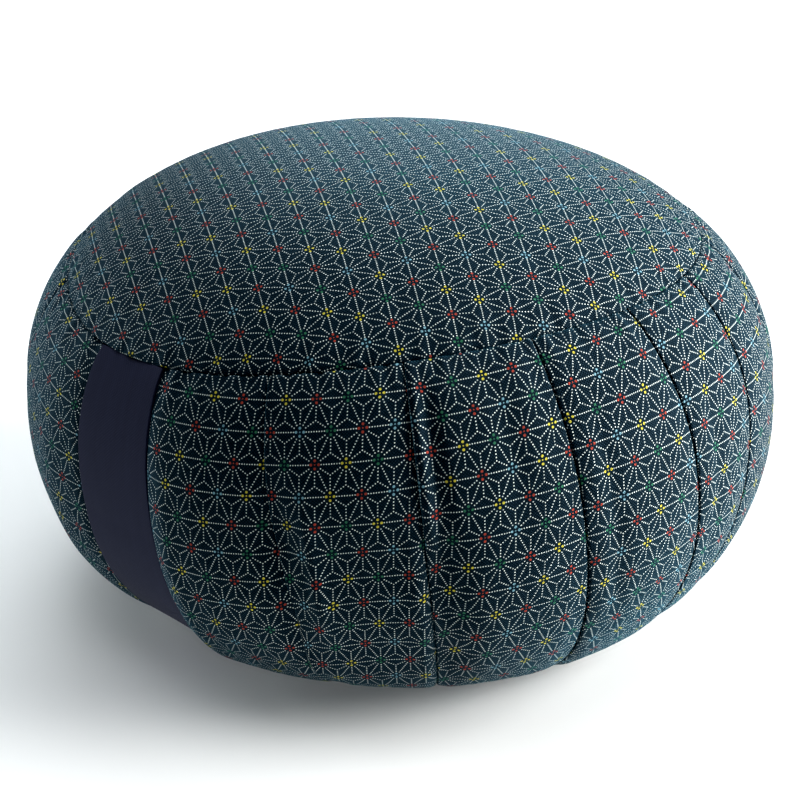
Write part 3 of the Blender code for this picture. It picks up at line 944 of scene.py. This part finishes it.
class ZAFU_OT_filling(bpy.types.Operator):
    """Let the filling swell the cloth between its seams and pleats, by cloth simulation"""
    bl_idname = "zafu.filling"
    bl_label = "Swell of the filling"

    def execute(self, context):
        distance = swollen_distance(context.scene.zafu_sizes.strap_width)
        seams = np.zeros((1, SWELL_COLUMNS))
        band = distance[SWELL_CROWN_ROWS:SWELL_CROWN_ROWS + SWELL_BAND_ROWS]
        scale = PANEL_SWELL / np.percentile(band, SWELL_PERCENTILE)
        SWELL["band"] = np.vstack([seams, np.clip(band * scale, -MOST_SWELL, MOST_SWELL)])
        crown = distance[:SWELL_CROWN_ROWS]
        uneven = (crown - crown.mean(axis=1, keepdims=True)) * scale * CROWN_UNEVENNESS
        SWELL["crown"] = np.vstack([seams, np.clip(uneven, -MOST_SWELL, MOST_SWELL)])
        return {"FINISHED"}


class ZAFU_OT_filled_band(bpy.types.Operator):
    """Sew the pleated side band round the filled body"""
    bl_idname = "zafu.filled_band"
    bl_label = "Filled body with pleated band"

    def execute(self, context):
        sizes = context.scene.zafu_sizes
        columns = band_columns(sizes.strap_width)
        at_top = columns["azimuth"] + np.degrees(columns["spread"] / WIDEST_RADIUS)
        rings = []
        for share in np.linspace(0, 1, LINING_ROWS + 1)[1:]:
            rings.append(crown_ring(at_top, share, -SEAT_DEPTH, GAP / 2))
        even = np.linspace(0, 1, BAND_ROWS)
        for share in even - BAND_ROW_CROWDING * np.sin(2 * np.pi * even):
            rings.append(band_place(columns, share, sizes.strap_width))
        at_base = at_top + band_turn(at_top)
        for arc in base_arcs(-GAP / 2, LINING_ROWS):
            rings.append(base_ring(at_base, arc, -SEAT_DEPTH, -GAP / 2))
        first = pole(CROWN_CHART_MIDDLE, CROWN_TOP - SEAT_DEPTH)
        last = pole(BASE_CHART_MIDDLE, SEAT_DEPTH)
        cotton = material_of("printed_plain_weave_cotton", printed_cotton)
        body = ring_solid("pleated_body", first, rings, last, cotton)
        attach(body, BODY)
        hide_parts("side_band")
        return {"FINISHED"}


class ZAFU_OT_top_panel(bpy.types.Operator):
    """Lay the round top panel over the crown"""
    bl_idname = "zafu.top_panel"
    bl_label = "Top panel"

    def execute(self, context):
        thickness = context.scene.zafu_sizes.cloth_thickness
        azimuth = np.linspace(-180, 180, CROWN_COLUMNS, endpoint=False)
        shares = np.linspace(0, 1, CROWN_ROWS + 1)[1:]
        outer = [crown_ring(azimuth, share, 0, -GAP / 2) for share in shares]
        inner = [crown_ring(azimuth, share, -thickness, -GAP / 2)
                 for share in shares[::-CROWN_ROWS_PER_INNER_ROW]]
        first = pole(CROWN_CHART_MIDDLE, CROWN_TOP)
        last = pole(CROWN_CHART_MIDDLE, CROWN_TOP - thickness)
        cotton = material_of("printed_plain_weave_cotton", printed_cotton)
        panel = ring_solid("crown_cloth", first, outer + inner, last, cotton)
        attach(panel, BODY)
        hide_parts("top_panel")
        return {"FINISHED"}


class ZAFU_OT_base_panel(bpy.types.Operator):
    """Sew the round base panel under the body"""
    bl_idname = "zafu.base_panel"
    bl_label = "Base panel"

    def execute(self, context):
        thickness = context.scene.zafu_sizes.cloth_thickness
        azimuth = np.linspace(-180, 180, CROWN_COLUMNS, endpoint=False)
        arcs = base_arcs(GAP / 2, BASE_ROWS)
        inner = [base_ring(azimuth, arc, -thickness, GAP / 2) for arc in arcs[::-1]]
        outer = [base_ring(azimuth, arc, 0, GAP / 2) for arc in arcs]
        first = pole(BASE_CHART_MIDDLE, thickness)
        last = pole(BASE_CHART_MIDDLE, 0)
        cotton = material_of("printed_plain_weave_cotton", printed_cotton)
        panel = ring_solid("base_cloth", first, inner + outer, last, cotton)
        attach(panel, BODY)
        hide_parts("base_panel")
        return {"FINISHED"}


def strap_section(sizes):
    """Closed section of the flat strap, in metres: across, and down from its outer face.

    A rounded box, sign(cos t) |cos t|^a across and sign(sin t) |sin t|^b through, with its points
    spread across by a sine.
    """
    around = np.linspace(-math.pi, math.pi, 2 * STRAP_COLUMNS, endpoint=False)
    across = np.sign(np.cos(around)) * np.abs(np.cos(around)) ** STRAP_EDGE_POWER
    through = np.sign(np.sin(around)) * np.abs(np.sin(around)) ** STRAP_FACE_POWER
    return (np.sin(np.pi / 2 * across) * sizes.strap_width / 2,
            (-0.5 + 0.5 * through) * sizes.strap_thickness)


class ZAFU_OT_strap(bpy.types.Operator):
    """Stretch the flat strap handle from seam to seam"""
    bl_idname = "zafu.strap"
    bl_label = "Strap handle"

    def execute(self, context):
        sizes = context.scene.zafu_sizes
        across, through = strap_section(sizes)
        turn = np.degrees(across / WIDEST_RADIUS)
        azimuth = STRAP_AZIMUTH + turn
        start = top_seam(azimuth) + GAP / 2
        end = BASE_SEAM_ARC - GAP / 2
        rings = []
        for share in np.linspace(STRAP_END_SHARE, 1 - STRAP_END_SHARE, STRAP_ROWS):
            arc = start + (end - start) * share
            relief = strap_face(share, turn) + through + seam_dip(arc - start) + seam_dip(end - arc)
            turned = azimuth + band_turn(azimuth) * share
            rings.append((place(turned, arc, relief), np.stack([across + through, arc], axis=-1)))
        first, last = ([values.mean(axis=0) for values in ring] for ring in (rings[0], rings[-1]))
        cotton = material_of("plain_dyed_cotton_webbing", plain_cotton)
        strap = ring_solid("strap", first, rings, last, cotton)
        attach(strap, BODY)
        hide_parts("handle")
        return {"FINISHED"}


# The floor glows faintly, a painted glow that lifts its shadow, and fades out, between two distances
# from the middle, into a background that only the camera sees: it gives no light.
FLOOR_WIDTH = 8.0
FLOOR_DROP = 0.2 * MM
FLOOR_GLOW = 0.11
FLOOR_GLOW_COLOUR = "#f2f6f8"
FLOOR_FADE = (0.85, 1.3)
BACKGROUND_COLOUR = "#f4f8fa"
# Lamps: azimuth and elevation as seen from the cushion, distance and width in metres, and power.
LAMP_AIM = Vector((0, 0, 0.1))
Lamp = namedtuple("Lamp", "name azimuth elevation distance width watts colour")
LAMPS = [Lamp(*row) for row in (
    ("right_softbox", 90, 20, 1.4, 0.9, 19.5, "#ffffff"),
    ("right_front_softbox", 75, 20, 1.4, 0.6, 9.0, "#ffffff"),
    ("back_softbox", 180, 18, 1.6, 1.0, 5.0, "#f2f9ff"),
    ("high_back_softbox", 180, 50, 1.6, 1.3, 6.0, "#f2f9ff"),
    ("left_softbox", -110, 12, 1.4, 0.8, 5.6, "#f2f9ff"),
    ("high_left_softbox", -100, 65, 1.5, 1.0, 3.4, "#f8fcff"),
    ("top_softbox", 0, 90, 1.5, 1.4, 6.6, "#f8fcff"),
)]


class ZAFU_OT_stage(bpy.types.Operator):
    """Set the floor, the soft lamps and the camera"""
    bl_idname = "zafu.stage"
    bl_label = "Floor, lamps and camera"

    def execute(self, context):
        self.add_floor(context)
        self.add_lamps(context)
        self.add_background(context)
        self.add_camera(context)
        self.set_tone(context)
        return {"FINISHED"}

    def add_floor(self, context):
        """A square of paper, a hair under the cushion."""
        half = FLOOR_WIDTH / 2
        corners = [(-half, -half), (half, -half), (half, half), (-half, half)]
        mesh = bpy.data.meshes.new("floor")
        mesh.from_pydata([(x, y, -FLOOR_DROP) for x, y in corners], [], [(0, 1, 2, 3)])
        mesh.materials.append(floor_paper())
        floor = bpy.data.objects.new("floor", mesh)
        context.collection.objects.link(floor)

    def add_lamps(self, context):
        """Round softboxes that face the cushion and don't show themselves."""
        for lamp in LAMPS:
            azimuth, rise = math.radians(lamp.azimuth), math.radians(lamp.elevation)
            away = Vector((math.sin(azimuth) * math.cos(rise), -math.cos(azimuth) * math.cos(rise),
                           math.sin(rise)))
            data = bpy.data.lights.new(lamp.name, "AREA")
            data.shape = "DISK"
            data.size = lamp.width
            data.energy = lamp.watts
            data.color = linear(lamp.colour)
            light = bpy.data.objects.new(lamp.name, data)
            light.location = LAMP_AIM + away * lamp.distance
            light.rotation_mode = "QUATERNION"
            light.rotation_quaternion = (-away).to_track_quat("-Z", "Y")
            light.visible_camera = False
            context.collection.objects.link(light)

    def add_background(self, context):
        """A pale background for the camera alone."""
        world = bpy.data.worlds.new("studio")
        world.use_nodes = True
        context.scene.world = world
        background = world.node_tree.nodes["Background"]
        background.inputs["Color"].default_value = (*linear(BACKGROUND_COLOUR), 1)
        background.inputs["Strength"].default_value = 1.0
        for ray in ("diffuse", "glossy", "transmission", "scatter"):
            setattr(world.cycles_visibility, ray, False)

    def add_camera(self, context):
        """The camera aims at a point on the axis, and its shift puts that point on AIM_PIXEL."""
        rise = math.radians(CAMERA_ELEVATION)
        data = bpy.data.cameras.new("photo_camera")
        data.lens = CAMERA_LENS
        data.shift_x = (PHOTO_SIZE / 2 - AIM_PIXEL[0]) / PHOTO_SIZE
        data.shift_y = (AIM_PIXEL[1] - PHOTO_SIZE / 2) / PHOTO_SIZE
        data.clip_start = CAMERA_CLIP
        camera = bpy.data.objects.new("photo_camera", data)
        back = Vector((0, -math.cos(rise), math.sin(rise)))
        camera.location = Vector((0, 0, AIM_HEIGHT)) + back * CAMERA_DISTANCE
        camera.rotation_mode = "QUATERNION"
        camera.rotation_quaternion = (-back).to_track_quat("-Z", "Y")
        context.collection.objects.link(camera)
        context.scene.camera = camera

    def set_tone(self, context):
        """The photograph's strong contrast, with its darkest tones let down to black."""
        view = context.scene.view_settings
        view.view_transform = "Standard"
        view.look = "High Contrast"
        view.use_curve_mapping = True
        view.curve_mapping.black_level = (BLACK_LEVEL,) * 3
        view.curve_mapping.update()


class ZAFU_PT_panel(bpy.types.Panel):
    """Lists the cushion's sizes, colours and makers"""
    bl_idname = "ZAFU_PT_panel"
    bl_label = "Zafu cushion"
    bl_space_type = "VIEW_3D"
    bl_region_type = "UI"
    bl_category = "Zafu"

    def draw(self, context):
        layout = self.layout
        for group in (context.scene.zafu_sizes, context.scene.zafu_colours):
            box = layout.box()
            for name in group.bl_rna.properties.keys():
                if name not in ("rna_type", "name"):
                    box.prop(group, name)
        for maker in MAKERS:
            layout.operator(maker.bl_idname)


MAKERS = (ZAFU_OT_filling, ZAFU_OT_filled_band, ZAFU_OT_top_panel, ZAFU_OT_base_panel,
          ZAFU_OT_strap, ZAFU_OT_stage)
CLASSES = (ZafuSizes, ZafuColours, *MAKERS, ZAFU_PT_panel)


def register():
    for entry in CLASSES:
        bpy.utils.register_class(entry)
    bpy.types.Scene.zafu_sizes = bpy.props.PointerProperty(type=ZafuSizes)
    bpy.types.Scene.zafu_colours = bpy.props.PointerProperty(type=ZafuColours)


def unregister():
    del bpy.types.Scene.zafu_colours
    del bpy.types.Scene.zafu_sizes
    for entry in reversed(CLASSES):
        bpy.utils.unregister_class(entry)


def main():
    """Register the classes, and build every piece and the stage."""
    register()
    bpy.ops.zafu.stage()
    bpy.ops.zafu.filling()
    bpy.ops.zafu.filled_band()
    bpy.ops.zafu.top_panel()
    bpy.ops.zafu.base_panel()
    bpy.ops.zafu.strap()


if __name__ == "__main__":
    main()
